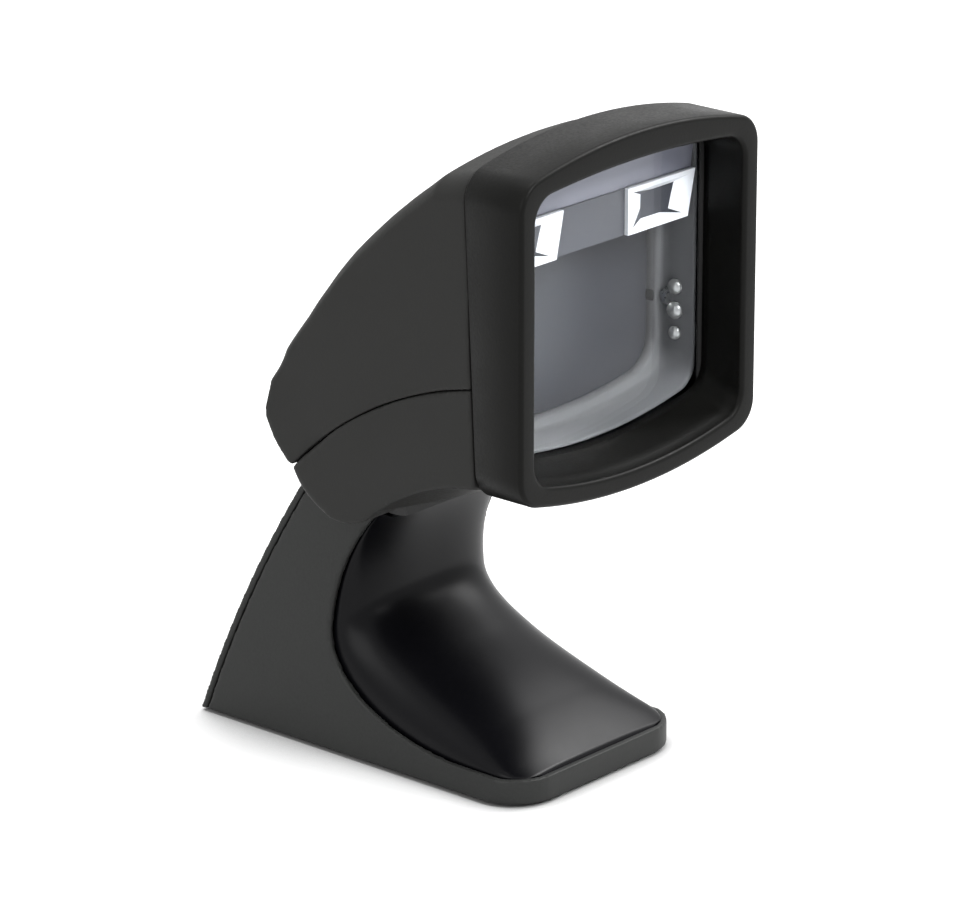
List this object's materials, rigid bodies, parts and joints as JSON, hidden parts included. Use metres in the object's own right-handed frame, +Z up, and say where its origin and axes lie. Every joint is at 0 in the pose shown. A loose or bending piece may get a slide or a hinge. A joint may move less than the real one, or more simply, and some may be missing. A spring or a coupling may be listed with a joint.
{
  "type": "handheld barcode scanner",
  "caption": "Presentation barcode scanner: hooded imaging head that tilts on a saddle, lifts off a weighted stand and has a trigger.",
  "frame": {"origin": "on the counter, under the middle of the whole object's box; the non-slip pad's underside lies there", "axes": "+Z up, the window faces -Y, X runs across the head"},
  "size_m": [0.078, 0.1046, 0.1475],
  "materials": {
    "stand_grey": "fine matte texture",
    "stand_gloss": "semi-gloss black",
    "base_black": "matte",
    "steel": "plain cut steel",
    "rubber": "matte",
    "screw_steel": "zinc plated",
    "friction": "acetal",
    "magnet": "nickel plated",
    "cover_grey": "fine matte texture",
    "bezel_black": "fine matte texture",
    "glass": "polished",
    "chamber_grey": "smooth satin",
    "strip_grey": "smooth satin",
    "clear_lens": "polished clear plastic",
    "circuit_board": "solder mask",
    "led": "smooth",
    "mirror_dark": "front-silvered behind a dark glass",
    "lens_glass": "coated",
    "chip_black": "matte",
    "contact_gold": "gold plated",
    "switch_white": "smooth"
  },
  "bodies": {
    "stand": {"base_shell": "stand_grey", "front_panel": "stand_gloss", "rear_panel": "stand_grey", "base_plate": "base_black", "ballast": "steel", "non_slip_pad": "rubber", "base_screws": "screw_steel", "tilt_screws": "screw_steel", "clamp_bar": "steel", "spring_washers": "screw_steel", "friction_pads": "friction"},
    "saddle": {"saddle": "base_black", "saddle_magnets": "magnet"},
    "head": {"upper_cover": "cover_grey", "lower_cover": "cover_grey", "bezel": "bezel_black", "window": "glass", "window_gasket": "rubber", "optical_chamber": "chamber_grey", "light_strip": "strip_grey", "illumination_lens_left": "clear_lens", "illumination_lens_right": "clear_lens", "led_board": "circuit_board", "leds": "led", "indicator_leds": "clear_lens", "fold_mirror": "mirror_dark", "sensor_board": "circuit_board", "lens_barrel": "base_black", "lens_element": "lens_glass", "main_board": "circuit_board", "board_chips": "chip_black", "beeper": "chip_black", "board_screws": "screw_steel", "cable_jack": "base_black", "jack_contacts": "contact_gold", "jack_board": "circuit_board", "chamber_screws": "screw_steel", "keeper_plate": "steel", "trigger_board": "circuit_board", "trigger_switch": "switch_white"},
    "trigger": {"trigger_button": "bezel_black"}
  },
  "joints": [
    {"name": "saddle_tilt", "type": "hinge", "parent": "stand", "child": "saddle", "pos_m": [0, 0.0006, 0.0739], "axis": [1, 0, 0], "range_deg": [-15, 25]},
    {"name": "head_lift", "type": "slide", "parent": "saddle", "child": "head", "axis": [0, 0, 1], "range_m": [0, 0.12]},
    {"name": "trigger_press", "type": "slide", "parent": "head", "child": "trigger", "axis": [0, -0.632, -0.7749], "range_m": [0, 0.0008], "stiffness_N_per_m": 1500, "springref_m": -0.0005}
  ]
}
